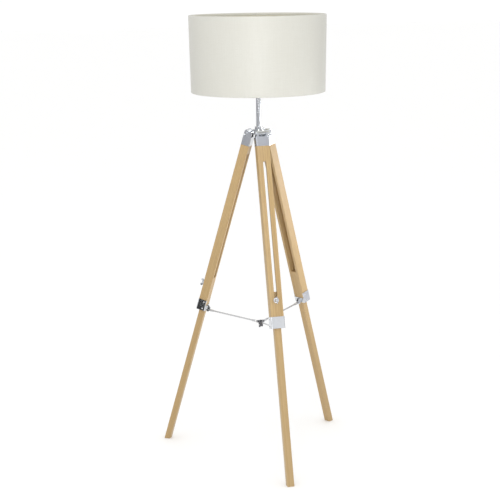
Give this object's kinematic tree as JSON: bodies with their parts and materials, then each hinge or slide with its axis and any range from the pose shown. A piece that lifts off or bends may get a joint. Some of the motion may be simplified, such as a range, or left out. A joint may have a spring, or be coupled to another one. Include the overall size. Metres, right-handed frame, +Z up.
{
  "type": "tripod floor lamp",
  "caption": "Tripod floor lamp with telescopic wooden legs in chrome fittings, a chrome pole, a wide drum shade and a folding rod spreader.",
  "frame": {"origin": "middle of the bounding box, on the floor", "axes": "+Z up along the pole, one leg points along -Y"},
  "size_m": [0.6322, 0.5838, 1.487],
  "materials": {
    "timber": "clear satin varnish",
    "chrome": "polished",
    "dark_plating": "black nickel plate",
    "steel_rod": "drawn steel, plated",
    "bright_screws": "plated",
    "brass": "plain",
    "white_plastic": "moulded",
    "ceramic": "glazed ceramic",
    "black_plastic": "moulded",
    "bulb_glass": "opal",
    "bulb_cap": "rolled",
    "white_wire": "white powder coat",
    "shade_fabric": "smooth laminated cotton"
  },
  "bodies": {
    "stand_head": {"head_hub": "chrome", "pole": "chrome", "pole_collar": "chrome", "collar_screw": "bright_screws", "pole_nut": "chrome", "cable_bush": "black_plastic", "top_nipple": "brass", "lampholder_base": "white_plastic", "lampholder_skirt": "white_plastic", "lampholder_shell": "brass", "lampholder_contact": "ceramic", "shade_fitter": "white_wire", "shade_spokes": "white_wire", "shade_lower_ring": "white_wire", "shade_top_ring": "white_wire", "shade_drum": "shade_fabric"},
    "shade_nut": {"shade_ring_nut": "white_plastic"},
    "bulb": {"bulb_cap": "bulb_cap", "bulb_glass": "bulb_glass"},
    "leg_front": {"leg_cap_front": "chrome", "upper_leg_front": "timber", "pivot_bolt_front": "chrome", "bracket_front": "chrome", "bracket_screws_front": "bright_screws", "rod_pin_front": "chrome"},
    "pivot_nut_front": {"pivot_wing_nut_front": "chrome"},
    "foot_front": {"lower_leg_front": "timber", "clamp_insert_front": "brass"},
    "clamp_front": {"clamp_bolt_front": "chrome", "clamp_washer_front": "bright_screws"},
    "brace_front": {"rod_front": "steel_rod"},
    "leg_right": {"leg_cap_right": "chrome", "upper_leg_right": "timber", "pivot_bolt_right": "chrome", "bracket_right": "chrome", "bracket_screws_right": "bright_screws", "rod_pin_right": "chrome"},
    "pivot_nut_right": {"pivot_wing_nut_right": "chrome"},
    "foot_right": {"lower_leg_right": "timber", "clamp_insert_right": "brass"},
    "clamp_right": {"clamp_bolt_right": "chrome", "clamp_washer_right": "bright_screws"},
    "brace_right": {"rod_right": "steel_rod"},
    "leg_left": {"leg_cap_left": "chrome", "upper_leg_left": "timber", "pivot_bolt_left": "chrome", "bracket_left": "chrome", "bracket_screws_left": "bright_screws", "rod_pin_left": "chrome"},
    "pivot_nut_left": {"pivot_wing_nut_left": "chrome"},
    "foot_left": {"lower_leg_left": "timber", "clamp_insert_left": "brass"},
    "clamp_left": {"clamp_bolt_left": "chrome", "clamp_washer_left": "bright_screws"},
    "brace_left": {"rod_left": "steel_rod"},
    "spreader": {"spreader_hub": "dark_plating", "hub_pins": "bright_screws", "hub_bolt": "dark_plating"},
    "spreader_nut": {"hub_wing_nut": "dark_plating"}
  },
  "joints": [
    {"name": "shade_nut_turn", "type": "hinge", "parent": "stand_head", "child": "shade_nut", "pos_m": [0, 0.06693, 1.27], "axis": [0, 0, 1], "continuous": true},
    {"name": "bulb_turn", "type": "hinge", "parent": "stand_head", "child": "bulb", "pos_m": [0, 0.06693, 1.3], "axis": [0, 0, 1], "continuous": true},
    {"name": "fold_front", "type": "hinge", "parent": "stand_head", "child": "leg_front", "pos_m": [0, 0.03193, 1.105], "axis": [1, 0, 0], "range_deg": [0, 4]},
    {"name": "pivot_nut_turn_front", "type": "hinge", "parent": "leg_front", "child": "pivot_nut_front", "pos_m": [0.02, 0.03193, 1.105], "axis": [1, 0, 0], "continuous": true},
    {"name": "extend_front", "type": "slide", "parent": "leg_front", "child": "foot_front", "axis": [0, 0.2807, 0.9598], "range_m": [0, 0.43]},
    {"name": "clamp_turn_front", "type": "hinge", "parent": "foot_front", "child": "clamp_front", "pos_m": [0, -0.13122, 0.57915], "axis": [0, -0.9598, 0.2807], "continuous": true},
    {"name": "brace_swing_front", "type": "hinge", "parent": "leg_front", "child": "brace_front", "pos_m": [0, -0.1213, 0.48301], "axis": [1, 0, 0], "range_deg": [-36.42, 0]},
    {"name": "fold_right", "type": "hinge", "parent": "stand_head", "child": "leg_right", "pos_m": [0.03031, 0.08443, 1.105], "axis": [-0.5, 0.866, 0], "range_deg": [0, 4]},
    {"name": "pivot_nut_turn_right", "type": "hinge", "parent": "leg_right", "child": "pivot_nut_right", "pos_m": [0.02031, 0.10175, 1.105], "axis": [-0.5, 0.866, 0], "continuous": true},
    {"name": "extend_right", "type": "slide", "parent": "leg_right", "child": "foot_right", "axis": [-0.2431, -0.1403, 0.9598], "range_m": [0, 0.43]},
    {"name": "clamp_turn_right", "type": "hinge", "parent": "foot_right", "child": "clamp_right", "pos_m": [0.1716, 0.166, 0.57915], "axis": [0.8312, 0.4799, 0.2807], "continuous": true},
    {"name": "brace_swing_right", "type": "hinge", "parent": "leg_right", "child": "brace_right", "pos_m": [0.16301, 0.16104, 0.48301], "axis": [-0.5, 0.866, 0], "range_deg": [-36.42, 0]},
    {"name": "fold_left", "type": "hinge", "parent": "stand_head", "child": "leg_left", "pos_m": [-0.03031, 0.08443, 1.105], "axis": [-0.5, -0.866, 0], "range_deg": [0, 4]},
    {"name": "pivot_nut_turn_left", "type": "hinge", "parent": "leg_left", "child": "pivot_nut_left", "pos_m": [-0.04031, 0.06711, 1.105], "axis": [-0.5, -0.866, 0], "continuous": true},
    {"name": "extend_left", "type": "slide", "parent": "leg_left", "child": "foot_left", "axis": [0.2431, -0.1403, 0.9598], "range_m": [0, 0.43]},
    {"name": "clamp_turn_left", "type": "hinge", "parent": "foot_left", "child": "clamp_left", "pos_m": [-0.1716, 0.166, 0.57915], "axis": [-0.8312, 0.4799, 0.2807], "continuous": true},
    {"name": "brace_swing_left", "type": "hinge", "parent": "leg_left", "child": "brace_left", "pos_m": [-0.16301, 0.16104, 0.48301], "axis": [-0.5, -0.866, 0], "range_deg": [-36.42, 0]},
    {"name": "hub_drop", "type": "slide", "parent": "stand_head", "child": "spreader", "axis": [0, 0, -1], "range_m": [0, 0.09941]},
    {"name": "hub_nut_turn", "type": "hinge", "parent": "spreader", "child": "spreader_nut", "pos_m": [0, 0.06693, 0.44], "axis": [0, 0, 1], "continuous": true}
  ],
  "couplings": [
    {"joint": "brace_swing_front", "follows": "fold_front", "ratio": -9.0927},
    {"joint": "fold_right", "follows": "fold_front", "ratio": 1},
    {"joint": "brace_swing_right", "follows": "fold_front", "ratio": -9.0927},
    {"joint": "fold_left", "follows": "fold_front", "ratio": 1},
    {"joint": "brace_swing_left", "follows": "fold_front", "ratio": -9.0927},
    {"joint": "hub_drop", "follows": "fold_front", "m_per_rad": 1.4211}
  ]
}
